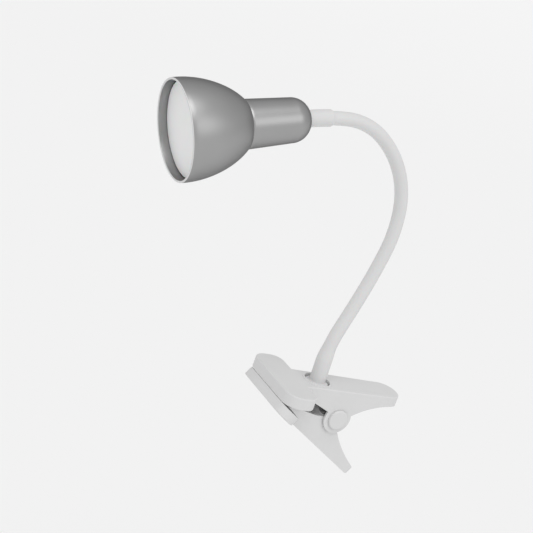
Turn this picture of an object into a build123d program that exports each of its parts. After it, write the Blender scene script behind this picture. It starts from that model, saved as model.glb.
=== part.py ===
from build123d import *
import math
import os

os.makedirs("parts", exist_ok=True)

# Clip-on reading lamp, millimetres and degrees.
# The origin is the middle of the upper jaw pad's grip face. The jaws point to -X and
# +Z goes up through the upper lever's top plate. The lamp is symmetric about y = 0.

# ---- clip: levers ----
jaw_front = -14.5  # x of the line where the two jaws meet
clip_length = 124.2
top_z = 9.9  # upper lever's top plane above the grip plane
plate = 2.4
wall = 2.2
jaw_length = 27.2
jaw_width = 79.0
jaw_front_corner = 12.8
jaw_rear_corner = 9.8
jaw_round = 0.5
lower_jaw_round = 1.0
contact_round = 0.2
body_front_half = 16.0
body_rear_half = 14.0
rear_corner = 12.8
skirt_front_depth = 9.9  # depth of the side walls behind the jaw
skirt_rear_depth = 8.7  # and at the handle's end
skirt_rear = jaw_front + 114.0  # where the skirt's lower edge starts to curve down to the ear
edge_round = 1.0
clip_rear = jaw_front + clip_length
jaw_rear = jaw_front + jaw_length

# ---- clip: pivot ----
pivot_x = jaw_front + 66.7
pivot_z = top_z - 25.65
ear_r = 12.6
pin_r = 3.0
pin_bore_r = 3.05
pin_head_r = 8.6
pin_head = 2.0
jaw_angle = 30.3  # angle between the jaws at rest

# ---- clip: lower lever, in its own plane along the lower jaw's contact face ----
lip = 8.1
lower_half = 12.7
lower_inner_half = 10.5
lower_jaw_length = 22.0
lower_jaw_width = 76.0
lower_jaw_corner = 10.8
lower_length = 119.0
lower_corner = 3.0
trough_front = 27.0
jaw_gap = 0.1
slope = math.radians(jaw_angle)
pivot_along = (pivot_x - jaw_front) * math.cos(slope) - pivot_z * math.sin(slope)
pivot_above = (pivot_x - jaw_front) * math.sin(slope) + pivot_z * math.cos(slope)

# ---- jaw pads ----
pad_length = 20.0
pad_width = 64.0
pad_corner = 5.0
pad_thick = 3.6
pad_clear = 0.3
lower_pad_length = 14.0
lower_pad_mid = 12.0  # along the lower lever
rib_count = 7
rib_thick = 1.6

# ---- spring ----
wire_r = 0.7
coil_r = 5.4
coil_pitch = 1.9
coil_turns = 7
upper_leg_angle = 125.0
lower_leg_slope = 40.0

# ---- gooseneck ----
neck_x = jaw_front + 44.0
socket_r = 11.0
socket_depth = 4.0
ring_r = 12.6
ring_rise = 0.6
floor_z = top_z - socket_depth
flange_r = 9.9  # the sleeve's foot in the socket
flange_height = 3.2
link_count = 7
link_length = 35.3
base_stub = 17.0
head_stub = 33.0
neck_turns = [-4.0, 18.0, -2.0, -5.0, -19.0, -26.0, -24.0, -35.5, -10.5]  # turn of each piece
sheath_radii = [6.6, 6.1, 5.4, 5.4, 5.4, 5.4, 5.4, 5.4, 6.5]
joint_gap = 2.0  # a piece stops this far short of the next joint
joint_clear = 0.3
hose_r = 3.9
hose_bore_r = 2.0
hose_clear = 0.3
lead_r = 1.1
lead_bore_r = 1.9
mouth_angle = 32.0
ferrule_r = 4.95
ferrule_bore_r = 2.2
nut_across = 14.0
nut_thick = 3.5
washer_r = 8.0
washer_thick = 0.8

# ---- head: distances run backwards along its axis from the rim ----
rim_r = 37.0
shade_wall = 1.6
rim_bevel = 0.4
bell_start = 4.0  # the straight rim ends and the bell's curve starts
shade_length = 52.6
crease_r = 18.6
crease_lip = 1.1
housing_gap = 0.4
housing_front_r = 18.2
housing_rear_r = 16.7
housing_body = 89.6  # where the rounded rear end starts
housing_round = 14.6
housing_wall = 2.0
spigot_length = 5.2  # neck housing's spigot inside the shade
spigot_r = 16.4
post_bore = 10.0
eye_r = 6.6
seat_r = 8.4  # flat inside face for the washer
dome_r = housing_rear_r - housing_round
head_length = housing_body + math.sqrt(housing_round**2 - (eye_r - dome_r) ** 2)
seat_depth = housing_body + math.sqrt((housing_round - housing_wall) ** 2 - (seat_r - dome_r) ** 2)
diffuser_depth = 6.8
diffuser_thick = 2.0
diffuser_r = 34.6
board_depth = 21.5
board_r = 24.0
board_thick = 1.6
sink_depth = 23.2
sink_base = 2.6
fin_reach = 21.0
fin_pitch = 4.6
fin_thick = 1.3
fin_length = 15.0
post_r = 9.9
post_end = shade_length - spigot_length + 4.0


def save(part, name):
    part.label = name
    export_step(part, "parts/" + name + ".step")


# ======================= upper lever =======================

with BuildPart() as jaw_block:
    with BuildSketch(Plane.XY) as jaw_plan:
        with Locations((jaw_front + jaw_length / 2, 0)):
            Rectangle(jaw_length, jaw_width)
        fillet(jaw_plan.vertices().group_by(Axis.X)[0], jaw_front_corner)
        fillet(jaw_plan.vertices().group_by(Axis.X)[-1], jaw_rear_corner)
    extrude(amount=top_z)
    fillet(jaw_block.faces().sort_by(Axis.Z)[0].outer_wire().edges(), jaw_round)

with BuildPart() as upper_lever:
    with BuildSketch(Plane.XZ):  # skirt and round ears, seen from the side
        with BuildLine():
            Polyline(
                (jaw_rear - 3, top_z - skirt_front_depth),
                (jaw_rear - 3, top_z),
                (clip_rear, top_z),
                (clip_rear, top_z - skirt_rear_depth),
                (skirt_rear, top_z - skirt_rear_depth),
            )
            Bezier(
                (skirt_rear, top_z - skirt_rear_depth),
                (jaw_front + 100, top_z - 10),
                (jaw_front + 86, top_z - 16),
                (jaw_front + 77.5, top_z - 22.5),
            )
            Polyline(
                (jaw_front + 77.5, top_z - 22.5),
                (pivot_x, pivot_z),
                (jaw_front + 53, top_z - 19),
                (jaw_front + 35, top_z - 11.8),
                (jaw_rear - 3, top_z - skirt_front_depth),
            )
        make_face()
        with Locations((pivot_x, pivot_z)):
            Circle(ear_r)
    extrude(amount=body_front_half, both=True)
    with BuildSketch(Plane.XY.offset(top_z)) as plan:
        with BuildLine():
            Polyline(
                (clip_rear - 20, -body_rear_half),
                (jaw_front + 10, -body_front_half),
                (jaw_front + 10, body_front_half),
                (clip_rear - 20, body_rear_half),
                (clip_rear, body_rear_half),
                (clip_rear, -body_rear_half),
                (clip_rear - 20, -body_rear_half),
            )
        make_face()
        fillet(plan.vertices().sort_by(Axis.X)[-2:], rear_corner)
    extrude(amount=-60, mode=Mode.INTERSECT)
    add(jaw_block.part)
    fillet(upper_lever.faces().sort_by(Axis.Z)[-1].outer_wire().edges(), edge_round)
    # hollow body, open below
    with BuildSketch(Plane.XY.offset(top_z - plate)) as hollow:
        with BuildLine():
            Polyline(
                (jaw_rear + 0.5, -body_front_half + wall),
                (jaw_rear + 0.5, body_front_half - wall),
                (clip_rear - wall, body_rear_half - wall),
                (clip_rear - wall, -body_rear_half + wall),
                (jaw_rear + 0.5, -body_front_half + wall),
            )
        make_face()
        fillet(hollow.vertices().sort_by(Axis.X)[-2:], rear_corner - wall)
    extrude(amount=-60, mode=Mode.SUBTRACT)
    # hollow jaw with ribs that back the pad
    with BuildSketch(Plane.XY):
        RectangleRounded(pad_length, pad_width, pad_corner)
    extrude(amount=top_z - plate, mode=Mode.SUBTRACT)
    with BuildSketch(Plane.XY.offset(pad_thick)):
        with GridLocations(pad_length, pad_width / (rib_count + 1), 1, rib_count):
            Rectangle(pad_length, rib_thick)
    extrude(amount=top_z - plate - pad_thick)
    # cup and rim ring for the gooseneck
    with BuildSketch(Plane.XY.offset(floor_z - plate)):
        with Locations((neck_x, 0)):
            Circle(ring_r)
    extrude(amount=socket_depth + plate + ring_rise)
    fillet(upper_lever.faces().sort_by(Axis.Z)[-1].outer_wire().edges(), 0.5)
    with BuildSketch(Plane.XY.offset(floor_z)):
        with Locations((neck_x, 0)):
            Circle(socket_r)
    extrude(amount=20, mode=Mode.SUBTRACT)
    with BuildSketch(Plane.XY.offset(floor_z - plate)):
        with Locations((neck_x, 0)):
            Circle(ferrule_r + 0.1)
    extrude(amount=20, mode=Mode.SUBTRACT)
    # pivot bore and cord inlet
    with BuildSketch(Plane.XZ):
        with Locations((pivot_x, pivot_z)):
            Circle(pin_bore_r)
    extrude(amount=30, both=True, mode=Mode.SUBTRACT)
    with BuildSketch(Plane.YZ.offset(clip_rear - 2 * wall)):
        with Locations((0, top_z - 5.2)):
            Circle(2.6)
    extrude(amount=10, mode=Mode.SUBTRACT)

save(upper_lever.part, "upper_lever")

# ======================= lower lever =======================

along = Vector(math.cos(slope), 0, -math.sin(slope))
above = Vector(math.sin(slope), 0, math.cos(slope))
contact = Vector(jaw_front, 0, 0)
lower_plane = Plane(origin=contact, x_dir=along, z_dir=above)
lower_side = Plane(origin=contact, x_dir=along, z_dir=(0, -1, 0))

with BuildPart() as lower_jaw_block:
    with BuildSketch(lower_plane.offset(-lip)):
        with Locations((lower_jaw_length / 2, 0)):
            RectangleRounded(lower_jaw_length, lower_jaw_width, lower_jaw_corner)
    extrude(amount=lip - jaw_gap)
    fillet(lower_jaw_block.faces().sort_by(Axis(contact, above))[0].outer_wire().edges(), lower_jaw_round)
    fillet(lower_jaw_block.faces().sort_by(Axis(contact, above))[-1].outer_wire().edges(), contact_round)

with BuildPart() as lower_lever:
    with BuildSketch(lower_side):
        with BuildLine():
            Polyline(
                (lower_length - 4, -lip),
                (12, -lip),
                (12, -jaw_gap),
                (22, -jaw_gap),
                (31, 4.4),
                (48, 10.0),
                (pivot_along, pivot_above),
                (76, 13.0),
            )
            Bezier((76, 13.0), (86, 7.6), (98, 3.0), (lower_length - 4, 0.3))
            ThreePointArc(
                (lower_length - 4, 0.3),
                (lower_length, -lip / 2),
                (lower_length - 4, -lip),
            )
        make_face()
        with Locations((pivot_along, pivot_above)):
            Circle(ear_r - 3.0)
    extrude(amount=lower_half, both=True)
    with BuildSketch(lower_plane) as lower_plan:
        with Locations((lower_length / 2, 0)):
            Rectangle(lower_length, 2 * lower_half)
        fillet(lower_plan.vertices().sort_by(Axis.X)[-2:], lower_corner)
    extrude(amount=40, both=True, mode=Mode.INTERSECT)
    add(lower_jaw_block.part)
    # trough, open towards the upper lever
    trough_length = lower_length - wall - trough_front
    with BuildSketch(lower_plane.offset(wall - lip)):
        with Locations((trough_front + trough_length / 2, 0)):
            Rectangle(trough_length, 2 * lower_inner_half)
    extrude(amount=60, mode=Mode.SUBTRACT)
    with BuildSketch(lower_plane.offset(-jaw_gap - pad_thick)):
        with Locations((lower_pad_mid, 0)):
            RectangleRounded(lower_pad_length, pad_width, pad_corner)
    extrude(amount=lip, mode=Mode.SUBTRACT)
    with BuildSketch(lower_side):
        with Locations((pivot_along, pivot_above)):
            Circle(pin_bore_r)
    extrude(amount=30, both=True, mode=Mode.SUBTRACT)

save(lower_lever.part, "lower_lever")

# ======================= jaw pads, pin, spring, bush =======================

with BuildPart() as upper_jaw_pad:
    with BuildSketch(Plane.XY):
        RectangleRounded(pad_length - 2 * pad_clear, pad_width - 2 * pad_clear, pad_corner - pad_clear)
    extrude(amount=pad_thick)

save(upper_jaw_pad.part, "upper_jaw_pad")

with BuildPart() as lower_jaw_pad:
    with BuildSketch(lower_plane.offset(-jaw_gap)):
        with Locations((lower_pad_mid, 0)):
            RectangleRounded(
                lower_pad_length - 2 * pad_clear, pad_width - 2 * pad_clear, pad_corner - pad_clear
            )
    extrude(amount=-pad_thick)

save(lower_jaw_pad.part, "lower_jaw_pad")

ear_face = body_front_half - (body_front_half - body_rear_half) * (pivot_x - jaw_front - 10) / (
    clip_length - 30
)
head_face = ear_face + 0.35
with BuildPart() as pivot_pin:
    with BuildSketch(Plane.XZ.offset(head_face)):
        with Locations((pivot_x, pivot_z)):
            Circle(pin_head_r)
    extrude(amount=pin_head)
    fillet(pivot_pin.edges().sort_by(Axis.Y)[0], 1.4)
    with BuildSketch(Plane.XZ.offset(head_face)):
        with Locations((pivot_x, pivot_z)):
            Circle(pin_r)
    extrude(amount=-2 * head_face - 1.0)

save(pivot_pin.part, "pivot_pin")

with BuildPart() as pivot_cap:
    with BuildSketch(Plane.XZ.offset(-head_face)):
        with Locations((pivot_x, pivot_z)):
            Circle(pin_head_r)
    extrude(amount=-pin_head)
    fillet(pivot_cap.edges().sort_by(Axis.Y)[-1], 1.4)
    with BuildSketch(Plane.XZ.offset(-head_face)):
        with Locations((pivot_x, pivot_z)):
            Circle(pin_r + 0.02)
    extrude(amount=-1.05, mode=Mode.SUBTRACT)

save(pivot_cap.part, "pivot_cap")


def around_pivot(radius, angle, y):
    turn = math.radians(angle)
    return Vector(pivot_x + radius * math.cos(turn), y, pivot_z + radius * math.sin(turn))


lower_leg_angle = 270 - lower_leg_slope - jaw_angle
coil_sweep = coil_turns + (lower_leg_angle - upper_leg_angle) / 360
coil_half = coil_pitch * coil_sweep / 2
coil_plane = Plane(
    origin=(pivot_x, coil_half, pivot_z),
    x_dir=(math.cos(math.radians(upper_leg_angle)), 0, math.sin(math.radians(upper_leg_angle))),
    z_dir=(0, -1, 0),
)
upper_leg_start = around_pivot(coil_r, upper_leg_angle, coil_half)
upper_leg_dir = Vector(
    math.sin(math.radians(upper_leg_angle)), 0, -math.cos(math.radians(upper_leg_angle))
)
upper_leg_length = (top_z - plate - wire_r - 0.6 - upper_leg_start.Z) / upper_leg_dir.Z
lower_leg_dir = Vector(
    -math.sin(math.radians(lower_leg_angle)), 0, math.cos(math.radians(lower_leg_angle))
)
lower_leg_start = around_pivot(coil_r, lower_leg_angle, -coil_half) + lower_leg_dir * 0.6

with BuildPart() as torsion_spring:
    with BuildLine(mode=Mode.PRIVATE) as coil:
        Helix(coil_pitch, coil_pitch * coil_sweep, coil_r)
    with BuildSketch(Plane(origin=upper_leg_start, z_dir=-upper_leg_dir)):
        Circle(wire_r)
    sweep(path=coil.line.moved(coil_plane.location), is_frenet=True)
    with BuildSketch(Plane(origin=upper_leg_start - upper_leg_dir * 0.2, z_dir=upper_leg_dir)):
        Circle(wire_r)
    extrude(amount=upper_leg_length + 0.2)

save(torsion_spring.part, "torsion_spring")

lower_leg_drop = pivot_above - coil_r * math.cos(math.radians(lower_leg_slope)) + lip - wall - wire_r
lower_leg_length = lower_leg_drop / math.sin(math.radians(lower_leg_slope)) - 1.6
with BuildPart() as spring_lower_leg:
    with BuildSketch(Plane(origin=lower_leg_start, z_dir=lower_leg_dir)):
        Circle(wire_r)
    extrude(amount=lower_leg_length)

save(spring_lower_leg.part, "spring_lower_leg")

bush_z = top_z - 5.2
with BuildPart() as cord_bush:
    with BuildSketch(Plane.YZ.offset(clip_rear - wall - 1.1)):
        with Locations((0, bush_z)):
            Circle(2.5)
    extrude(amount=wall + 2.2)
    for face_x in (clip_rear - wall - 1.3, clip_rear + 0.1):
        with BuildSketch(Plane.YZ.offset(face_x)):
            with Locations((0, bush_z)):
                Circle(2.8)
        extrude(amount=1.0)
    with BuildSketch(Plane.YZ.offset(clip_rear - 10)):
        with Locations((0, bush_z)):
            Circle(lead_r + 0.2)
    extrude(amount=20, mode=Mode.SUBTRACT)

save(cord_bush.part, "cord_bush")

# ======================= gooseneck =======================

piece_lengths = [base_stub] + [link_length] * link_count + [head_stub]
stations = [(neck_x, floor_z, 0.0)]  # x, z and heading in radians from +Z towards +X
for length, turn in zip(piece_lengths, neck_turns):
    x, z, heading = stations[-1]
    new_heading = heading + math.radians(turn)
    bend_r = length / math.radians(turn)
    new_x = x + bend_r * (math.cos(heading) - math.cos(new_heading))
    new_z = z + bend_r * (math.sin(new_heading) - math.sin(heading))
    stations.append((new_x, new_z, new_heading))


def on_piece(index, distance):
    # point and heading at a distance along one piece of the neck
    x, z, heading = stations[index]
    bend_r = piece_lengths[index] / math.radians(neck_turns[index])
    here = heading + distance / bend_r
    return (
        x + bend_r * (math.cos(heading) - math.cos(here)),
        z + bend_r * (math.sin(here) - math.sin(heading)),
        here,
    )


def heading_dir(heading):
    return Vector(math.sin(heading), 0, math.cos(heading))


def neck_tube(index, start, end, radius, mode=Mode.ADD):
    # round bar along one piece of the neck between two distances
    x0, z0, heading = on_piece(index, start)
    x1, z1, _ = on_piece(index, (start + end) / 2)
    x2, z2, _ = on_piece(index, end)
    with BuildLine(Plane.XZ) as route:
        ThreePointArc((x0, z0), (x1, z1), (x2, z2))
    with BuildSketch(Plane(origin=(x0, 0, z0), x_dir=(0, 1, 0), z_dir=heading_dir(heading))) as ring:
        Circle(radius)
    sweep(sections=ring.sketch, path=route.line, mode=mode)


def ball(index, radius, mode=Mode.ADD):
    x, z, _ = stations[index]
    with Locations((x, 0, z)):
        Sphere(radius, mode=mode)


for index in range(link_count + 2):
    length = piece_lengths[index]
    radius = sheath_radii[index]
    is_base = index == 0
    is_head = index == link_count + 1
    stop = length if is_head else length - joint_gap
    with BuildPart() as sheath:
        neck_tube(index, 0, stop, radius)
        if is_base:
            with BuildSketch(Plane.XY.offset(floor_z)):
                with Locations((neck_x, 0)):
                    Circle(flange_r)
            extrude(amount=flange_height)
        else:
            ball(index, radius)
            x, z, heading = stations[index]
            back = -heading_dir(heading)
            mouth = 8.0
            wide = lead_bore_r + mouth * math.tan(math.radians(mouth_angle))
            with BuildSketch(Plane(origin=(x, 0, z), x_dir=(0, 1, 0), z_dir=back)):
                Circle(lead_bore_r)
            with BuildSketch(
                Plane(origin=Vector(x, 0, z) + back * mouth, x_dir=(0, 1, 0), z_dir=back)
            ):
                Circle(wide)
            loft(mode=Mode.SUBTRACT)
        if not is_head:
            ball(index + 1, sheath_radii[index + 1] + joint_clear, mode=Mode.SUBTRACT)
        neck_tube(index, 0, stop, lead_bore_r, mode=Mode.SUBTRACT)
        cavity_start = 0 if is_base else 1.0
        next_ball = 0 if is_head else sheath_radii[index + 1] + joint_clear + 1.4
        cavity_end = length - next_ball
        cavity_r = ferrule_r + 0.1 if is_base else hose_r + hose_clear
        if is_head:
            neck_tube(index, cavity_start, length - 6, cavity_r, mode=Mode.SUBTRACT)
            neck_tube(index, length - 6.5, length, ferrule_r + 0.1, mode=Mode.SUBTRACT)
        else:
            neck_tube(index, cavity_start, cavity_end, cavity_r, mode=Mode.SUBTRACT)
    name = "neck_base_sleeve" if is_base else "neck_head_sleeve" if is_head else f"neck_sheath_{index}"
    save(sheath.part, name)

    if not is_base:
        hose_end = length - 7 if is_head else cavity_end - hose_clear
        with BuildPart() as hose:
            neck_tube(index, cavity_start + hose_clear, hose_end, hose_r)
            neck_tube(index, cavity_start + hose_clear, hose_end, hose_bore_r, mode=Mode.SUBTRACT)
        save(hose.part, "neck_hose_head" if is_head else f"neck_hose_{index}")

    if not is_base and not is_head:
        with BuildPart() as lead:
            neck_tube(index, 0, length, lead_r)
            ball(index, lead_r)
            ball(index + 1, lead_r + 0.15, mode=Mode.SUBTRACT)
        save(lead.part, f"neck_lead_{index}")

# lead in the clip: from the first joint down through the ferrule and back to the cord bush
base_x, base_z, base_heading = stations[1]
with BuildPart() as lead_in_clip:
    with BuildLine(Plane.XZ):
        x1, z1, _ = on_piece(0, base_stub / 2)
        ThreePointArc((base_x, base_z), (x1, z1), (neck_x, floor_z))
        Line((neck_x, floor_z), (neck_x, floor_z - 8))
        Spline(
            (neck_x, floor_z - 8),
            (neck_x + 16, floor_z - 11),
            (clip_rear - 12, bush_z),
            tangents=[(0, -1), (1, 0)],
        )
        Line((clip_rear - 12, bush_z), (clip_rear - 0.5, bush_z))
    with BuildSketch(
        Plane(origin=(base_x, 0, base_z), x_dir=(0, 1, 0), z_dir=-heading_dir(base_heading))
    ):
        Circle(lead_r)
    sweep()
    ball(1, lead_r + 0.15, mode=Mode.SUBTRACT)

save(lead_in_clip.part, "lead_in_clip")


def fixing(plane, into, name):
    # threaded ferrule, washer and nut at one end of the neck, on a plane facing inwards
    with BuildPart() as ferrule:
        with BuildSketch(plane.offset(-5.5)):
            Circle(ferrule_r)
            Circle(ferrule_bore_r, mode=Mode.SUBTRACT)
        extrude(amount=5.5 + into + washer_thick + nut_thick + 1.2)
    save(ferrule.part, name + "_ferrule")
    with BuildPart() as washer:
        with BuildSketch(plane.offset(into)):
            Circle(washer_r)
            Circle(ferrule_r + 0.15, mode=Mode.SUBTRACT)
        extrude(amount=washer_thick)
    save(washer.part, name + "_washer")
    with BuildPart() as nut:
        with BuildSketch(plane.offset(into + washer_thick)):
            RegularPolygon(nut_across / 2, 6, major_radius=False)
            Circle(ferrule_r + 0.03, mode=Mode.SUBTRACT)
        extrude(amount=nut_thick)
    save(nut.part, name + "_nut")


fixing(Plane(origin=(neck_x, 0, floor_z), x_dir=(0, 1, 0), z_dir=(0, 0, -1)), plate, "base")

# ======================= head =======================

end_x, end_z, end_heading = stations[-1]
forward = heading_dir(end_heading)
backward = -forward
raised = Vector(-backward.Z, 0, backward.X)
rear_point = Vector(end_x, 0, end_z)
rim_point = rear_point + forward * head_length
head_side = Plane(origin=rim_point, x_dir=backward, z_dir=(0, -1, 0))
head_axis = Axis(rim_point, backward)


def head_plane(depth):
    return Plane(origin=rim_point + backward * depth, x_dir=(0, 1, 0), z_dir=backward)


fixing(Plane(origin=rear_point, x_dir=(0, 1, 0), z_dir=forward), head_length - seat_depth, "head")

with BuildPart() as shade:  # bell with a straight rim, turned about the head's axis
    with BuildSketch(head_side):
        with BuildLine():
            Polyline((0, rim_r - rim_bevel), (rim_bevel, rim_r), (bell_start, rim_r + 0.1))
            Bezier((bell_start, rim_r + 0.1), (23.2, rim_r + 0.1), (42.5, 29.0), (shade_length, crease_r))
            Line((shade_length, crease_r), (shade_length, crease_r - crease_lip))
            Line((shade_length, crease_r - crease_lip), (shade_length - 1.15, crease_r - crease_lip))
            Bezier(
                (shade_length - 1.15, crease_r - crease_lip),
                (40.7, 27.8),
                (22.4, rim_r + 0.1 - shade_wall),
                (bell_start, rim_r + 0.1 - shade_wall),
            )
            Polyline(
                (bell_start, rim_r + 0.1 - shade_wall),
                (0, rim_r - shade_wall),
                (0, rim_r - rim_bevel),
            )
        make_face()
    revolve(axis=head_axis)

save(shade.part, "shade")

spigot_front = shade_length - spigot_length
housing_front = shade_length + housing_gap
inner_round = housing_round - housing_wall


def on_dome(radius, angle):
    # point (depth, radius) on a round rear end, angle from the axis
    turn = math.radians(angle)
    return (housing_body + radius * math.cos(turn), dome_r + radius * math.sin(turn))


with BuildPart() as neck_housing:
    with BuildSketch(head_side):
        with BuildLine():
            Polyline(
                (spigot_front, post_bore),
                (spigot_front, spigot_r),
                (housing_front, spigot_r),
                (housing_front, housing_front_r - 0.5),
                (housing_front + 0.5, housing_front_r),
                (housing_body, housing_rear_r),
            )
            ThreePointArc((housing_body, housing_rear_r), on_dome(housing_round, 50), (head_length, eye_r))
            Polyline(
                (head_length, eye_r),
                (head_length, ferrule_r + 0.1),
                (seat_depth, ferrule_r + 0.1),
                (seat_depth, seat_r),
            )
            ThreePointArc(
                (seat_depth, seat_r),
                on_dome(inner_round, 55),
                (housing_body, housing_rear_r - housing_wall),
            )
            Polyline(
                (housing_body, housing_rear_r - housing_wall),
                (housing_front, spigot_r - housing_wall),
                (spigot_front + 2, spigot_r - housing_wall),
                (spigot_front + 2, post_bore),
                (spigot_front, post_bore),
            )
        make_face()
    revolve(axis=head_axis)

save(neck_housing.part, "neck_housing")

with BuildPart() as diffuser:
    with BuildSketch(head_plane(diffuser_depth)):
        Circle(diffuser_r)
    extrude(amount=diffuser_thick)
    fillet(diffuser.faces().sort_by(head_axis)[0].outer_wire().edges(), 0.5)

save(diffuser.part, "diffuser")

reflector_front = diffuser_depth + diffuser_thick + 0.2
with BuildPart() as reflector:
    with BuildSketch(head_side):
        with BuildLine():
            Polyline(
                (reflector_front, 34.6),
                (reflector_front, 33.0),
                (board_depth - 0.3, 21.4),
                (board_depth - 0.3, 22.6),
                (reflector_front + 1.2, 34.0),
                (reflector_front + 1.2, 34.6),
                (reflector_front, 34.6),
            )
        make_face()
    revolve(axis=head_axis)

save(reflector.part, "reflector")

screw_circle = 18.0
with BuildPart() as led_board:
    with BuildSketch(head_plane(board_depth)):
        Circle(board_r)
        with PolarLocations(screw_circle, 3):
            Circle(1.6, mode=Mode.SUBTRACT)
    extrude(amount=board_thick)

save(led_board.part, "led_board")

with BuildPart() as led_chips:
    with BuildSketch(head_plane(board_depth)):
        with PolarLocations(13.0, 9, start_angle=20):
            Rectangle(2.8, 2.8)
        with PolarLocations(6.5, 3, start_angle=60):
            Rectangle(2.8, 2.8)
    extrude(amount=-0.7)

save(led_chips.part, "led_chips")

with BuildPart() as heat_sink:
    with BuildSketch(head_plane(sink_depth)):
        Circle(board_r + 2)
        Circle(5, mode=Mode.SUBTRACT)
        with PolarLocations(screw_circle, 3):
            Circle(1.25, mode=Mode.SUBTRACT)
    extrude(amount=sink_base)
    for row in range(-4, 5):
        offset = row * fin_pitch
        half_chord = math.sqrt(fin_reach**2 - offset**2)
        with BuildSketch(head_plane(sink_depth + sink_base)):
            with Locations((offset, 0)):
                Rectangle(fin_thick, 2 * half_chord)
            Circle(7.5, mode=Mode.SUBTRACT)
            with PolarLocations(screw_circle, 3):
                Circle(2.2, mode=Mode.SUBTRACT)
        extrude(amount=fin_length)
    with BuildSketch(head_plane(sink_depth + sink_base)):
        Circle(post_r)
        Circle(6, mode=Mode.SUBTRACT)
    extrude(amount=post_end - sink_depth - sink_base)

save(heat_sink.part, "heat_sink")

with BuildPart() as board_screws:
    with BuildSketch(head_plane(board_depth)):
        with PolarLocations(screw_circle, 3):
            Circle(2.4)
    extrude(amount=-1.4)
    with BuildSketch(head_plane(board_depth)):
        with PolarLocations(screw_circle, 3):
            Circle(1.2)
    extrude(amount=6.0)

save(board_screws.part, "board_screws")

driver_front = 58.0
driver_length = 29.0
driver_half = 12.0
driver_mid = rim_point + backward * (driver_front + driver_length / 2)


def board_plane(height):
    return Plane(origin=driver_mid + raised * height, x_dir=backward, z_dir=raised)


with BuildPart() as driver_board:
    with BuildSketch(board_plane(-0.8)):
        Rectangle(driver_length, 2 * driver_half)
    extrude(amount=1.6)

save(driver_board.part, "driver_board")

with BuildPart() as driver_transformer:
    with BuildSketch(board_plane(0.85)):
        with Locations((1.0, -3.5)):
            Rectangle(12, 11)
    extrude(amount=8.5)

save(driver_transformer.part, "driver_transformer")

capacitor_r = 4.0
with BuildPart() as driver_capacitor:
    with BuildSketch(
        Plane(
            origin=driver_mid + backward * 5.5 + Vector(0, 6.5, 0) + raised * (0.85 + capacitor_r),
            z_dir=backward,
        )
    ):
        Circle(capacitor_r)
    extrude(amount=9)
    fillet(driver_capacitor.edges().filter_by(GeomType.CIRCLE), 0.5)

save(driver_capacitor.part, "driver_capacitor")

with BuildPart() as driver_chips:
    with BuildSketch(board_plane(0.85)):
        with Locations((-11, 7), (-4, 6.5), (1, 6.5)):
            Rectangle(3, 4)
        with Locations((11, -6)):
            Rectangle(5, 6)
    extrude(amount=1.5)

save(driver_chips.part, "driver_chips")

with BuildPart() as driver_sleeve:
    with BuildSketch(head_plane(driver_front - 2)):
        Circle(13.6)
        Circle(13.2, mode=Mode.SUBTRACT)
    extrude(amount=driver_length + 1)

save(driver_sleeve.part, "driver_sleeve")

wire_row = 1.65
with BuildPart() as led_wires:
    with BuildSketch(head_plane(board_depth + board_thick + 0.05)):
        with Locations((-2.2, wire_row), (2.2, wire_row)):
            Circle(0.7)
    extrude(amount=driver_front + 3 - board_depth - board_thick)

save(led_wires.part, "led_wires")

head_x, head_z, head_heading = stations[link_count + 1]
with BuildPart() as lead_in_head:
    with BuildLine(Plane.XZ):
        x1, z1, _ = on_piece(link_count + 1, head_stub / 2)
        inner_end = rear_point + forward * (head_length - driver_front - driver_length - 0.3)
        ThreePointArc((head_x, head_z), (x1, z1), (end_x, end_z))
        Line((end_x, end_z), (inner_end.X, inner_end.Z))
    with BuildSketch(
        Plane(origin=(head_x, 0, head_z), x_dir=(0, 1, 0), z_dir=heading_dir(head_heading))
    ):
        Circle(lead_r)
    sweep()
    ball(link_count + 1, lead_r)

save(lead_in_head.part, "lead_in_head")
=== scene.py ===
import math
import bpy
import numpy as np
from mathutils import Matrix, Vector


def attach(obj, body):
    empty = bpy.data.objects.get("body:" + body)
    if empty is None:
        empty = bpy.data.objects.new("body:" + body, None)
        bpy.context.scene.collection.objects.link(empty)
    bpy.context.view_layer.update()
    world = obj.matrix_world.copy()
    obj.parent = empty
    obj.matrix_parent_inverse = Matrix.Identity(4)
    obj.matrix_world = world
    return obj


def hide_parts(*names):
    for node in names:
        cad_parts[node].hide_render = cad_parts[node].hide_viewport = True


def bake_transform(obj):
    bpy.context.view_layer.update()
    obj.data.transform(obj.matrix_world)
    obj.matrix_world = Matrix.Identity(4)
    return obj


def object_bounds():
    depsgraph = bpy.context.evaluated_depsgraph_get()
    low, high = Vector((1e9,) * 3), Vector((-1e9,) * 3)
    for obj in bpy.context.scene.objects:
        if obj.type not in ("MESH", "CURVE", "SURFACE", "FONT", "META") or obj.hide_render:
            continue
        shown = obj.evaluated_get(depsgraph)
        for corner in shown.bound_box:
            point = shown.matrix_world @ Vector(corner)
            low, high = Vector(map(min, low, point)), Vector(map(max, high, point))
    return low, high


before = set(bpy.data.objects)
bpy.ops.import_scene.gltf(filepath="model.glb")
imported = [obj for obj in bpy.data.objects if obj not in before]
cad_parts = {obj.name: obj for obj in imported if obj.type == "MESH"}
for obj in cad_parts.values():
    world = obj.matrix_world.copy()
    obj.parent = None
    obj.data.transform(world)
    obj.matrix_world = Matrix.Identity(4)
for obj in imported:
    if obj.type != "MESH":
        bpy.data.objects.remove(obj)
cadBox = [list(corner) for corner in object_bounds()]

mm = 0.001
sharpAngle = math.radians(38)    # edges that turn more than this stay crisp

# the clip, as the CAD has it; the socket is the round recess that the neck stands in
clip = {
    "jawFront": -14.5 * mm,
    "topPlane": 9.9 * mm,
    "jawAngle": math.radians(30.3),
    "socketDepth": 4.0 * mm,
    "socketFromFront": 44.0 * mm,    # from the jaws' front edge to the neck's axis
}

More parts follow.
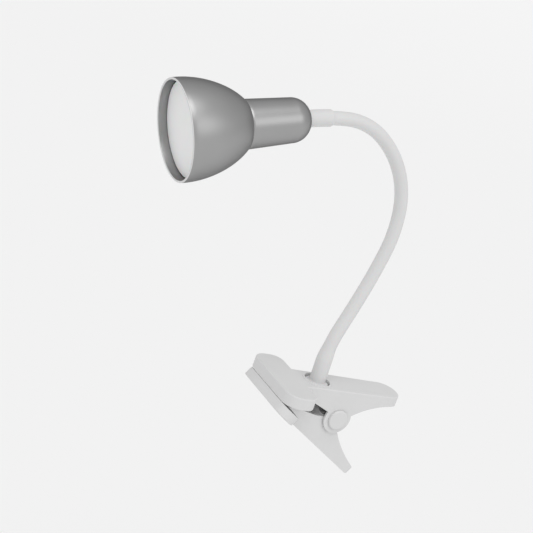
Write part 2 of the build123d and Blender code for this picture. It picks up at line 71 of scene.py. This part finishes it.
# the neck as a run of arcs: length and turn of each piece, first and last fixed to the clip and the head
neck = {
    "footLength": 17.0 * mm,
    "linkLength": 35.3 * mm,
    "headLength": 33.0 * mm,
    "links": 7,
    "turns": [-4.0, 18.0, -2.0, -5.0, -19.0, -26.0, -24.0, -35.5, -10.5],
    "radius": 5.35 * mm,
    "footSwell": 1.05 * mm,      # how much thicker the moulded foot is
    "footEnd": 22.0 * mm,        # where the foot starts to narrow to the plain sleeve
    "flangeRadius": 9.8 * mm,
    "flangeHeight": 3.1 * mm,
    "flangeCorner": 0.8 * mm,
    "filletHeight": 1.6 * mm,    # hollow fillet from the flange up to the sleeve
    "filletWidth": 0.9 * mm,
    "footTaper": 0.35 * mm,      # slow taper after the foot
    "taperShare": 0.4,           # the part of the neck that it runs over
    "headSwell": 1.15 * mm,      # collar in front of the housing
    "headCollar": 20.5 * mm,     # its length
    "stepLength": 2.2 * mm,      # length of the step up to the collar
    "footStepLength": 15.4 * mm, # length of the foot's narrowing
}

# the head, measured backwards along its axis from the rim
head = {
    "rimRadius": 37.0 * mm,
    "wall": 1.6 * mm,
    "bellLength": 52.6 * mm,
    "bellPull": [(23.2 * mm, 37.1 * mm), (42.5 * mm, 29.0 * mm)],
    "innerPull": [(40.7 * mm, 27.8 * mm), (22.4 * mm, 35.5 * mm)],
    "creaseRadius": 18.6 * mm,
    "housingFront": 18.2 * mm,
    "housingRear": 16.7 * mm,
    "housingBody": 89.6 * mm,
    "domeRadius": 14.6 * mm,
    "eyeRadius": 6.6 * mm,
    "seatRadius": 8.4 * mm,
    "housingWall": 2.0 * mm,
    "spigotDepth": 49.4 * mm,      # the housing's front end inside the bell
    "stopDepth": 47.4 * mm,
    "spigotBore": 14.4 * mm,
    "stopBore": 10.0 * mm,
    "spigotRadius": 16.4 * mm,
    "seatBore": 5.1 * mm,          # hole for the neck's ferrule
}


def gridMesh(name, grid, closeStart=False, closeEnd=False, flip=False, loop=False):
    # quads between neighbouring rows and columns of a grid of points; the columns wrap round, the rows
    # do too when the profile is a loop, and an end row is closed with a fan to its mean point; a face looks
    # along column direction x row direction, and flip turns it round
    rows, cols = grid.shape[:2]
    points = grid.reshape(-1, 3)
    thisCol = np.arange(cols)
    nextCol = (thisCol + 1) % cols
    here = np.arange(rows if loop else rows - 1)[:, None] * cols
    there = (here + cols) % (rows * cols)
    quads = np.stack([here + thisCol, here + nextCol, there + nextCol, there + thisCol], -1)
    faces = quads.reshape(-1, 4)
    fans = []
    for wanted, row in ((closeStart, 0), (closeEnd, rows - 1)):
        if not wanted:
            continue
        centre = len(points)
        points = np.vstack([points, grid[row].mean(0)])
        ring = row * cols + thisCol
        ringNext = row * cols + nextCol
        fan = np.stack([ringNext, ring, np.full(len(ring), centre)], -1)
        fans += (fan if row == 0 else fan[:, ::-1]).tolist()
    faces = faces.tolist() + fans
    if flip:
        faces = [face[::-1] for face in faces]
    mesh = bpy.data.meshes.new(name)
    mesh.from_pydata(points.tolist(), [], faces)
    mesh.update()
    mesh.polygons.foreach_set("use_smooth", np.ones(len(mesh.polygons), dtype=bool))
    mesh.set_sharp_from_angle(angle=sharpAngle)
    piece = bpy.data.objects.new(name, mesh)
    bpy.context.scene.collection.objects.link(piece)
    return piece


def finishPiece(piece, material, body, nodes=()):
    # gives a piece its material, the body it rides on and the CAD nodes it stands for
    piece.data.materials.append(material)
    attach(piece, body)
    if nodes:
        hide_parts(*nodes)
    return piece


def neckLine(distance):
    # point and unit direction at each distance along the neck: circular arcs joined end to end,
    # so on an arc of radius R the point moves by R times the change in cosine and sine of the heading
    lengths = np.array([neck["footLength"]] + [neck["linkLength"]] * neck["links"] + [neck["headLength"]])
    turns = np.radians(neck["turns"])
    starts = np.concatenate([[0.0], np.cumsum(lengths)])
    headings = np.concatenate([[0.0], np.cumsum(turns)])
    radii = lengths / turns
    stepX = radii * (np.cos(headings[:-1]) - np.cos(headings[1:]))
    stepZ = radii * (np.sin(headings[1:]) - np.sin(headings[:-1]))
    footX = clip["jawFront"] + clip["socketFromFront"]
    footZ = clip["topPlane"] - clip["socketDepth"]
    x0 = footX + np.concatenate([[0.0], np.cumsum(stepX)])
    z0 = footZ + np.concatenate([[0.0], np.cumsum(stepZ)])
    which = np.clip(np.searchsorted(starts, distance, side="right") - 1, 0, len(lengths) - 1)
    heading = headings[which] + (distance - starts[which]) / radii[which]
    x = x0[which] + radii[which] * (np.cos(headings[which]) - np.cos(heading))
    z = z0[which] + radii[which] * (np.sin(heading) - np.sin(headings[which]))
    point = np.stack([x, np.zeros_like(x), z], -1)
    direction = np.stack([np.sin(heading), np.zeros_like(x), np.cos(heading)], -1)
    return point, direction


def ease(value):
    # 0 to 1 with level ends: three times the square less twice the cube
    value = np.clip(value, 0.0, 1.0)
    return value * value * (3.0 - 2.0 * value)


domeFoot = head["housingRear"] - head["domeRadius"]
headLength = head["housingBody"] + math.sqrt(head["domeRadius"] ** 2 - (head["eyeRadius"] - domeFoot) ** 2)
neckLength = neck["footLength"] + neck["links"] * neck["linkLength"] + neck["headLength"]
rearPoint, headDirection = neckLine(np.array([neckLength]))
rearPoint = rearPoint[0]
backward = -headDirection[0]
raised = np.array([-backward[2], 0.0, backward[0]])
sideways = np.array([0.0, 1.0, 0.0])
rimPoint = rearPoint - backward * headLength


def turned(name, profile, segments, **ends):
    # profile of (depth, radius) pairs carried once round the head's axis
    angle = np.linspace(0.0, 2.0 * math.pi, segments, endpoint=False)
    spoke = np.cos(angle)[:, None] * sideways + np.sin(angle)[:, None] * raised
    depth, radius = np.asarray(profile).T
    grid = rimPoint + depth[:, None, None] * backward + radius[:, None, None] * spoke[None]
    return gridMesh(name, grid, **ends)


def bezier(a, b, c, d, steps):
    # cubic curve through its first and last point, pulled by the two between
    t = np.linspace(0.0, 1.0, steps)[:, None]
    a, b, c, d = (np.asarray(p) for p in (a, b, c, d))
    return (1 - t) ** 3 * a + 3 * (1 - t) ** 2 * t * b + 3 * (1 - t) * t ** 2 * c + t ** 3 * d


def arcProfile(centre, radius, start, end, steps):
    # part of a circle, from one angle to another in degrees
    angle = np.radians(np.linspace(start, end, steps))
    return np.stack([centre[0] + radius * np.cos(angle), centre[1] + radius * np.sin(angle)], -1)


def newMaterial(name):
    material = bpy.data.materials.new(name)
    material.use_nodes = True
    return material, material.node_tree.nodes, material.node_tree.links


def grainyCoat(name, look):
    # a solid colour with two scales of noise: slow drift of tone and roughness, fine bump of the skin
    material, nodes, links = newMaterial(name)
    shader = nodes["Principled BSDF"]
    shader.inputs["Metallic"].default_value = look.get("metallic", 0.0)
    shader.inputs["Specular IOR Level"].default_value = look.get("specular", 0.5)
    # Specular Tint sets the reflection's colour at grazing angles; the near-black value on the head's paint
    # is painted shade along its silhouettes
    shader.inputs["Specular Tint"].default_value = (*[look.get("edge", 1.0)] * 3, 1.0)
    shader.inputs["Coat Weight"].default_value = look.get("coat", 0.0)
    shader.inputs["Coat Roughness"].default_value = look.get("coatRoughness", 0.2)
    shader.inputs["Subsurface Weight"].default_value = look.get("subsurface", 0.0)
    shader.inputs["Subsurface Scale"].default_value = 0.002
    place = nodes.new("ShaderNodeTexCoord")
    drift = nodes.new("ShaderNodeTexNoise")
    drift.inputs["Scale"].default_value = look.get("driftScale", 38.0)
    drift.inputs["Detail"].default_value = 4.0
    links.new(place.outputs["Object"], drift.inputs["Vector"])
    tone = nodes.new("ShaderNodeValToRGB")
    low = [c * (1.0 - look.get("variation", 0.03)) for c in look["colour"]]
    tone.color_ramp.elements[0].position = 0.3
    tone.color_ramp.elements[0].color = (*low, 1.0)
    tone.color_ramp.elements[1].position = 0.7
    tone.color_ramp.elements[1].color = (*look["colour"], 1.0)
    links.new(drift.outputs["Fac"], tone.inputs["Fac"])
    links.new(tone.outputs["Color"], shader.inputs["Base Color"])
    rough = nodes.new("ShaderNodeMapRange")
    rough.inputs["To Min"].default_value = look["roughness"] - look.get("roughnessSpread", 0.04)
    rough.inputs["To Max"].default_value = look["roughness"] + look.get("roughnessSpread", 0.04)
    links.new(drift.outputs["Fac"], rough.inputs["Value"])
    links.new(rough.outputs["Result"], shader.inputs["Roughness"])
    grain = nodes.new("ShaderNodeTexNoise")
    grain.inputs["Scale"].default_value = look.get("grainScale", 2600.0)
    grain.inputs["Detail"].default_value = 3.0
    links.new(place.outputs["Object"], grain.inputs["Vector"])
    bump = nodes.new("ShaderNodeBump")
    bump.inputs["Strength"].default_value = look.get("grain", 0.12)
    bump.inputs["Distance"].default_value = look.get("grainDepth", 0.00006)
    links.new(grain.outputs["Fac"], bump.inputs["Height"])
    links.new(bump.outputs["Normal"], shader.inputs["Normal"])
    return material


# colour, gloss and grain of each finish; driftScale and grainScale are noise scales, larger is finer
looks = {
    # the head's paint is a satin metallic grey; its edge value is painted shade that darkens the reflections
    # at the silhouettes
    "shadePaint": {"colour": (0.40, 0.40, 0.40), "metallic": 0.85, "edge": 0.10, "roughness": 0.42,
                   "grainScale": 3200.0, "grain": 0.10, "variation": 0.05},
    "housingPaint": {"colour": (0.40, 0.40, 0.40), "metallic": 0.85, "edge": 0.10, "roughness": 0.38,
                     "grainScale": 3200.0, "grain": 0.08, "variation": 0.05},
    # painted highlight: the rim face is the shade's own paint made lighter and not metallic, so it reads as
    # lit
    "rimPaintedHighlight": {"colour": (0.72, 0.72, 0.72), "metallic": 0.0, "specular": 0.15, "roughness": 0.6,
                "grainScale": 3200.0, "grain": 0.08, "variation": 0.04},
    "clipPlastic": {"colour": (0.69, 0.69, 0.69), "roughness": 0.46, "specular": 0.35, "grainScale": 1500.0,
                    "grain": 0.12, "variation": 0.02},
    "neckSleeve": {"colour": (0.70, 0.70, 0.70), "roughness": 0.5, "specular": 0.35, "grainScale": 2200.0,
                   "grain": 0.12, "variation": 0.02, "subsurface": 0.05},
    "padRubber": {"colour": (0.30, 0.30, 0.30), "roughness": 0.75, "grainScale": 1800.0, "grain": 0.3,
                  "variation": 0.08},
    "opalDisc": {"colour": (0.90, 0.90, 0.90), "roughness": 0.55, "grainScale": 1400.0, "grain": 0.18,
                 "variation": 0.01, "subsurface": 0.2},
    "whiteGloss": {"colour": (0.82, 0.82, 0.81), "roughness": 0.18, "grain": 0.03},
    "springWire": {"colour": (0.45, 0.45, 0.45), "metallic": 1.0, "roughness": 0.28, "grainScale": 4000.0},
    "zincPlate": {"colour": (0.60, 0.60, 0.58), "metallic": 1.0, "roughness": 0.34, "variation": 0.10,
                  "driftScale": 160.0},
    "hoseStrip": {"colour": (0.50, 0.50, 0.50), "metallic": 1.0, "roughness": 0.35, "variation": 0.08},
    "leadSkin": {"colour": (0.62, 0.62, 0.62), "roughness": 0.5, "grain": 0.10},
    "castAluminium": {"colour": (0.62, 0.62, 0.63), "metallic": 1.0, "roughness": 0.45, "grainScale": 900.0,
                      "grain": 0.35, "grainDepth": 0.00015},
    "boardMask": {"colour": (0.78, 0.78, 0.77), "roughness": 0.35, "grain": 0.05},
    "boardFibre": {"colour": (0.03, 0.17, 0.07), "roughness": 0.32, "grainScale": 700.0, "grain": 0.15},
    "blackMoulding": {"colour": (0.03, 0.03, 0.032), "roughness": 0.5, "grain": 0.2},
    "phosphor": {"colour": (0.80, 0.60, 0.14), "roughness": 0.35, "grain": 0.05},
    "canSleeve": {"colour": (0.06, 0.08, 0.14), "roughness": 0.3, "grain": 0.05},
    "insulatorFilm": {"colour": (0.75, 0.74, 0.62), "roughness": 0.3, "grain": 0.05},
}
coats = {name: grainyCoat(name, look) for name, look in looks.items()}
print("materials made")


def sleeveRadius(distance):
    # plain radius, plus a swollen foot that steps down and then tapers, plus a collar at the head
    foot = 1.0 - ease((distance - neck["footEnd"]) / neck["footStepLength"])
    slow = np.clip(1.0 - distance / (neck["taperShare"] * neckLength), 0.0, 1.0)
    collarStart = neckLength - neck["headCollar"]
    collar = ease((distance - collarStart) / neck["stepLength"])
    plain = neck["radius"] + neck["footSwell"] * foot + neck["footTaper"] * slow + neck["headSwell"] * collar
    # the flange in the socket has a quarter-round shoulder and a small fillet up to the sleeve
    height = neck["flangeHeight"]
    corner = neck["flangeCorner"]
    drop = np.clip((distance - height + corner) / corner, 0.0, 1.0)
    shoulder = neck["flangeRadius"] - corner * (1.0 - np.sqrt(1.0 - drop ** 2))
    hollow = np.clip(1.0 - (distance - height) / neck["filletHeight"], 0.0, 1.0) ** 2
    fillet = plain + neck["filletWidth"] * hollow
    return np.where(distance <= height, np.maximum(shoulder, plain), fillet)


def sleeveSection(name, start, end, segments=72, step=0.6 * mm):
    # circles set square to the neck line, one row per step along it
    rows = max(12, int((end - start) / step))
    distance = np.linspace(start, end, rows)
    if start == 0.0:
        shoulderRows = np.linspace(0.7, 1.0, 10) * neck["flangeHeight"]
        distance = np.unique(np.concatenate([distance, shoulderRows, shoulderRows[-1:] + 0.02 * mm]))
    point, direction = neckLine(distance)
    across = np.cross(direction, sideways)
    angle = np.linspace(0.0, 2.0 * math.pi, segments, endpoint=False)
    ring = np.cos(angle)[None, :, None] * sideways + np.sin(angle)[None, :, None] * across[:, None]
    grid = point[:, None] + sleeveRadius(distance)[:, None, None] * ring
    return gridMesh(name, grid, closeStart=True, closeEnd=True)


# each section of the sleeve reaches from the middle of one link to the middle of the next, and bends
# over the joint between them
jointAt = neck["footLength"] + neck["linkLength"] * np.arange(neck["links"] + 1)
cuts = [0.0] + [joint + neck["linkLength"] / 2 for joint in jointAt[:-1]] + [neckLength + 0.4 * mm]
sleeveNodes = ["neck_base_sleeve"] + ["neck_sheath_%d" % k for k in range(1, neck["links"] + 1)]
for k in range(len(jointAt)):
    section = sleeveSection("neckSleeve%d" % (k + 1), cuts[k], cuts[k + 1])
    section.data.materials.append(coats["neckSleeve"])
    ends, _ = neckLine(np.array([cuts[k], min(cuts[k + 1], neckLength)]))
    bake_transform(section)
    nodes = [sleeveNodes[k]] + (["neck_head_sleeve"] if k == len(jointAt) - 1 else [])
    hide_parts(*nodes)
print("gooseneck sleeve made")


def bellProfile():
    # (depth, radius) once round the wall: eased rim face, outer cubic curve, rear lip, inner cubic curve
    rim, wall = head["rimRadius"], head["wall"]
    face = [(0.5 * mm, rim - wall), (0.12 * mm, rim - wall + 0.2 * mm), (0.0, rim - wall + 0.5 * mm),
            (0.0, rim - 0.5 * mm), (0.12 * mm, rim - 0.15 * mm), (0.5 * mm, rim + 0.02 * mm)]
    outer = bezier((4 * mm, rim + 0.1 * mm), *head["bellPull"],
                   (head["bellLength"], head["creaseRadius"]), 64)
    lip = [(head["bellLength"], head["creaseRadius"] - 1.1 * mm)]
    inner = bezier((51.45 * mm, 17.5 * mm), *head["innerPull"], (4 * mm, rim + 0.1 * mm - wall), 48)
    return np.vstack([face, outer, lip, inner])


def colourRows(piece, material, columns, first, last):
    # gives the quads between two rows of a grid a second material
    piece.data.materials.append(material)
    index = np.zeros(len(piece.data.polygons), dtype=np.int32)
    index[first * columns:last * columns] = 1
    piece.data.polygons.foreach_set("material_index", index)


shadeSegments = 192
rimFaceRows = 5    # the first rows of the bell, the rim face, which get the painted highlight
shade = turned("bellShade", bellProfile(), shadeSegments, loop=True)
finishPiece(shade, coats["shadePaint"], "head", ["shade"])
# the rim face rows take the painted highlight, a lighter copy of the shade's paint
colourRows(shade, coats["rimPaintedHighlight"], shadeSegments, 0, rimFaceRows)


def housingProfile():
    # (depth, radius) once round the wall: straight tapering side, rear dome as an arc, the hole for the
    # neck, the dome's inside as a smaller arc, then the spigot that enters the bell
    front, rear, wall = head["housingFront"], head["housingRear"], head["housingWall"]
    start, body, radius = head["bellLength"] + 0.12 * mm, head["housingBody"], head["domeRadius"]
    eyeAngle = math.degrees(math.asin((head["eyeRadius"] - domeFoot) / radius))
    seatAngle = math.degrees(math.asin((head["seatRadius"] - domeFoot) / (radius - wall)))
    side = np.stack([np.linspace(start + 0.5 * mm, body, 24), np.linspace(front, rear, 24)], -1)
    dome = arcProfile((body, domeFoot), radius, 88, eyeAngle, 30)
    inside = arcProfile((body, domeFoot), radius - wall, seatAngle, 90, 14)
    bore, stop = head["spigotBore"], head["stopBore"]
    reach, outside = head["spigotDepth"], head["spigotRadius"]
    spigot = [(start, bore), (reach, bore), (reach, stop), (head["stopDepth"], stop),
              (head["stopDepth"], outside), (start, outside), (start, front - 0.5 * mm),
              (start + 0.15 * mm, front - 0.15 * mm)]
    eye = [(headLength, head["seatBore"]), (inside[0][0], head["seatBore"])]
    return np.vstack([side, dome, eye, inside, spigot])


housing = turned("neckHousing", housingProfile(), 144, loop=True)
finishPiece(housing, coats["housingPaint"], "head", ["neck_housing"])
print("head shell made")


# lowerMid is the distance from the jaw's front edge to the middle of the lower pad; squareness is
# the power of the outline, larger is squarer
pads = {"length": 19.4 * mm, "lowerLength": 13.4 * mm, "lowerMid": 12.0 * mm, "lowerSink": 0.1 * mm,
        "width": 63.4 * mm, "squareness": 5.0, "pitch": 2.4 * mm, "groove": 0.7 * mm}


def ribbedPad(name, origin, lengthways, outwards, length, flip=False):
    # rows are superellipse outlines (cosine and sine each to the power 2 / squareness) that shrink to
    # the middle; on the grip side the height dips in grooves, a cosine wave along the pad's width, and
    # its edge is eased
    gripRows = 60
    turns = np.linspace(0.0, 2.0 * math.pi, 240, endpoint=False)
    power = 2.0 / pads["squareness"]
    cosT, sinT = np.cos(turns), np.sin(turns)
    outX = np.sign(cosT) * np.abs(cosT) ** power
    outY = np.sign(sinT) * np.abs(sinT) ** power
    shrink = np.concatenate([np.linspace(0.02, 0.97, gripRows), [0.99, 1.0, 1.0, 1.0, 0.99, 0.02]])
    height = np.concatenate([np.zeros(gripRows), [0.12, 0.4, 1.2, 3.2, 3.6, 3.6]]) * mm
    x = shrink[:, None] * outX * length / 2
    y = shrink[:, None] * outY * pads["width"] / 2
    wave = 0.5 - 0.5 * np.cos(2.0 * math.pi * y / pads["pitch"])
    dip = pads["groove"] * ease((wave - 0.55) / 0.35) * ease((0.97 - shrink[:, None]) / 0.06)
    dip[gripRows:] = 0.0
    z = height[:, None] + dip
    grid = (np.asarray(origin) + x[..., None] * np.asarray(lengthways) + y[..., None] * sideways
            - z[..., None] * np.asarray(outwards))
    return gridMesh(name, grid, closeStart=True, closeEnd=True, flip=flip)


slope = clip["jawAngle"]
alongLower = np.array([math.cos(slope), 0.0, -math.sin(slope)])
outLower = np.array([math.sin(slope), 0.0, math.cos(slope)])
upperPad = ribbedPad("upperPad", (0, 0, 0), (1, 0, 0), (0, 0, -1), pads["length"])
finishPiece(upperPad, coats["padRubber"], "clip", ["upper_jaw_pad"])
lowerOrigin = np.array([clip["jawFront"], 0, 0]) + alongLower * pads["lowerMid"]
lowerOrigin = lowerOrigin - outLower * pads["lowerSink"]
# the two pads are mirror images of each other, so only this one has its faces turned round
lowerPad = ribbedPad("lowerPad", lowerOrigin, alongLower, outLower, pads["lowerLength"], flip=True)
finishPiece(lowerPad, coats["padRubber"], "jaw", ["lower_jaw_pad"])
print("jaw pads made")


lead = {"radius": 1.1 * mm, "bushX": 109.7 * mm, "bushZ": 4.7 * mm, "beforeBush": 12.0 * mm}


def sweptTube(name, path, radius, segments=24):
    # circles of one radius square to a path in the plane of symmetry
    direction = np.gradient(path, axis=0)
    direction /= np.linalg.norm(direction, axis=1)[:, None]
    across = np.cross(direction, sideways)
    angle = np.linspace(0.0, 2.0 * math.pi, segments, endpoint=False)
    ring = np.cos(angle)[None, :, None] * sideways + np.sin(angle)[None, :, None] * across[:, None]
    return gridMesh(name, path[:, None] + radius * ring, closeStart=True, closeEnd=True)


def clipLeadPath():
    # down through the ferrule, then one cubic bend and a straight run back to the bush
    inNeck, _ = neckLine(np.linspace(neck["footLength"], 0.0, 20))
    top = inNeck[-1]
    down = bezier((top[0], top[2]), (top[0], top[2] - 6 * mm), (top[0], top[2] - 11.4 * mm),
                  (top[0] + 6 * mm, top[2] - 10.6 * mm), 24)[1:]
    bushStart = lead["bushX"] - lead["beforeBush"]
    back = bezier(down[-1], (top[0] + 20 * mm, top[2] - 8.6 * mm), (bushStart - 22 * mm, lead["bushZ"]),
                  (bushStart, lead["bushZ"]), 40)[1:]
    straightX = np.linspace(bushStart, lead["bushX"] - 0.5 * mm, 10)[1:]
    straight = np.stack([straightX, np.full(9, lead["bushZ"])], -1)
    flat = np.vstack([down, back, straight])
    return np.vstack([inNeck, np.stack([flat[:, 0], np.zeros(len(flat)), flat[:, 1]], -1)])


clipLead = sweptTube("clipLead", clipLeadPath(), lead["radius"])
finishPiece(clipLead, coats["leadSkin"], "clip", ["lead_in_clip"])


def bushRing():
    # profile of (x, radius) pairs carried round the lead: inner flange, waist in the wall, outer flange
    x = lead["bushX"] + np.array([-3.5, -3.5, -3.3, -2.6, -2.45, -2.4, 0.05, 0.1, 0.2, 0.9, 1.1, 1.1]) * mm
    r = np.array([1.3, 2.5, 2.75, 2.8, 2.7, 2.5, 2.5, 2.7, 2.8, 2.75, 2.4, 1.3]) * mm
    angle = np.linspace(0.0, 2.0 * math.pi, 72, endpoint=False)
    grid = np.stack([x[:, None] + 0 * angle, r[:, None] * np.cos(angle),
                     lead["bushZ"] + r[:, None] * np.sin(angle)], -1)
    return gridMesh("cordBush", grid, loop=True)


finishPiece(bushRing(), coats["padRubber"], "clip", ["cord_bush"])
print("lead and bush made")


finishes = {
    "clipPlastic": ["upper_lever", "lower_lever", "pivot_pin", "pivot_cap"],
    "opalDisc": ["diffuser"],
    "whiteGloss": ["reflector"],
    "springWire": ["torsion_spring", "spring_lower_leg"],
    "zincPlate": ["base_ferrule", "base_washer", "base_nut", "head_ferrule", "head_washer", "head_nut",
                  "board_screws"],
    "hoseStrip": ["neck_hose_%d" % k for k in range(1, 8)] + ["neck_hose_head"],
    "leadSkin": ["neck_lead_%d" % k for k in range(1, 8)] + ["lead_in_head", "led_wires"],
    "castAluminium": ["heat_sink"],
    "boardMask": ["led_board"],
    "boardFibre": ["driver_board"],
    "blackMoulding": ["driver_transformer", "driver_chips"],
    "phosphor": ["led_chips"],
    "canSleeve": ["driver_capacitor"],
    "insulatorFilm": ["driver_sleeve"],
}
for coat, nodeNames in finishes.items():
    for nodeName in nodeNames:
        node = bpy.data.objects[nodeName]
        for index in range(len(node.material_slots)):
            node.material_slots[index].material = coats[coat]
print("CAD nodes finished")


# metres, sun strengths, and softness as the width of each sun in degrees
studio = {"floorDrop": 0.55, "floorTone": 0.94, "floorRadius": 30.0, "flatRadius": 6.0, "rise": 0.008,
          "fill": 0.60, "key": 0.99, "keySoftness": 40, "keyFrom": (-0.30, -0.42, 1.00),
          "front": 0.36, "frontSoftness": 34, "frontFrom": (0.34, -0.78, 0.50)}


def makeFloor():
    # flat under the lamp, then rising with the square of the distance, so it closes the view all round
    radius = np.concatenate([[0.01], np.linspace(0.4, studio["floorRadius"], 90)])
    angle = np.linspace(0.0, 2.0 * math.pi, 96, endpoint=False)
    rise = studio["rise"] * np.clip(radius - studio["flatRadius"], 0.0, None) ** 2
    low = cadBox[0][2] - studio["floorDrop"]
    grid = np.stack([radius[:, None] * np.cos(angle), radius[:, None] * np.sin(angle),
                     (low + rise)[:, None] + 0 * angle], -1)
    floor = gridMesh("floor", grid, closeStart=True, flip=True)
    material, nodes, links = newMaterial("paleFloor")
    shader = nodes["Principled BSDF"]
    shader.inputs["Base Color"].default_value = (*[studio["floorTone"]] * 3, 1.0)
    shader.inputs["Roughness"].default_value = 0.9
    shader.inputs["Specular IOR Level"].default_value = 0.0
    floor.data.materials.append(material)


def pointLike(item, viewAxis, roll=0.0):
    # turns an object so that its -Z looks along viewAxis, then rolls it about that line
    back = -np.asarray(viewAxis) / np.linalg.norm(viewAxis)
    right = np.cross((0.0, 0.0, 1.0), back)
    right /= np.linalg.norm(right)
    up = np.cross(back, right)
    turn = math.radians(roll)
    rolledRight = right * math.cos(turn) + up * math.sin(turn)
    rolledUp = np.cross(back, rolledRight)
    place = np.eye(4)
    place[:3, 0] = rolledRight
    place[:3, 1] = rolledUp
    place[:3, 2] = back
    place[:3, 3] = item.location
    item.matrix_world = Matrix(place.tolist())


def sunLight(name, direction, strength, softness):
    data = bpy.data.lights.new(name, "SUN")
    data.energy = strength
    data.angle = math.radians(softness)
    lamp = bpy.data.objects.new(name, data)
    bpy.context.scene.collection.objects.link(lamp)
    toward = -np.asarray(direction) / np.linalg.norm(direction)
    pointLike(lamp, toward)


makeFloor()
sunLight("keySun", studio["keyFrom"], studio["key"], studio["keySoftness"])
sunLight("frontSun", studio["frontFrom"], studio["front"], studio["frontSoftness"])
world = bpy.data.worlds.new("studio") if bpy.context.scene.world is None else bpy.context.scene.world
bpy.context.scene.world = world
world.use_nodes = True
world.node_tree.nodes["Background"].inputs["Color"].default_value = (1.0, 1.0, 1.0, 1.0)
world.node_tree.nodes["Background"].inputs["Strength"].default_value = studio["fill"]
bpy.context.scene.view_settings.view_transform = "Standard"

view = {"place": (-0.5320, -0.7874, 0.3604), "target": (-0.0531, 0.0, 0.0975), "roll": 20.24, "lens": 85.0}
lensData = bpy.data.cameras.new("camera")
lensData.lens = view["lens"]
lensData.sensor_width = 36.0
camera = bpy.data.objects.new("camera", lensData)
bpy.context.scene.collection.objects.link(camera)
camera.location = view["place"]
pointLike(camera, np.array(view["target"]) - np.array(view["place"]), view["roll"])
bpy.context.scene.camera = camera
print("studio set")
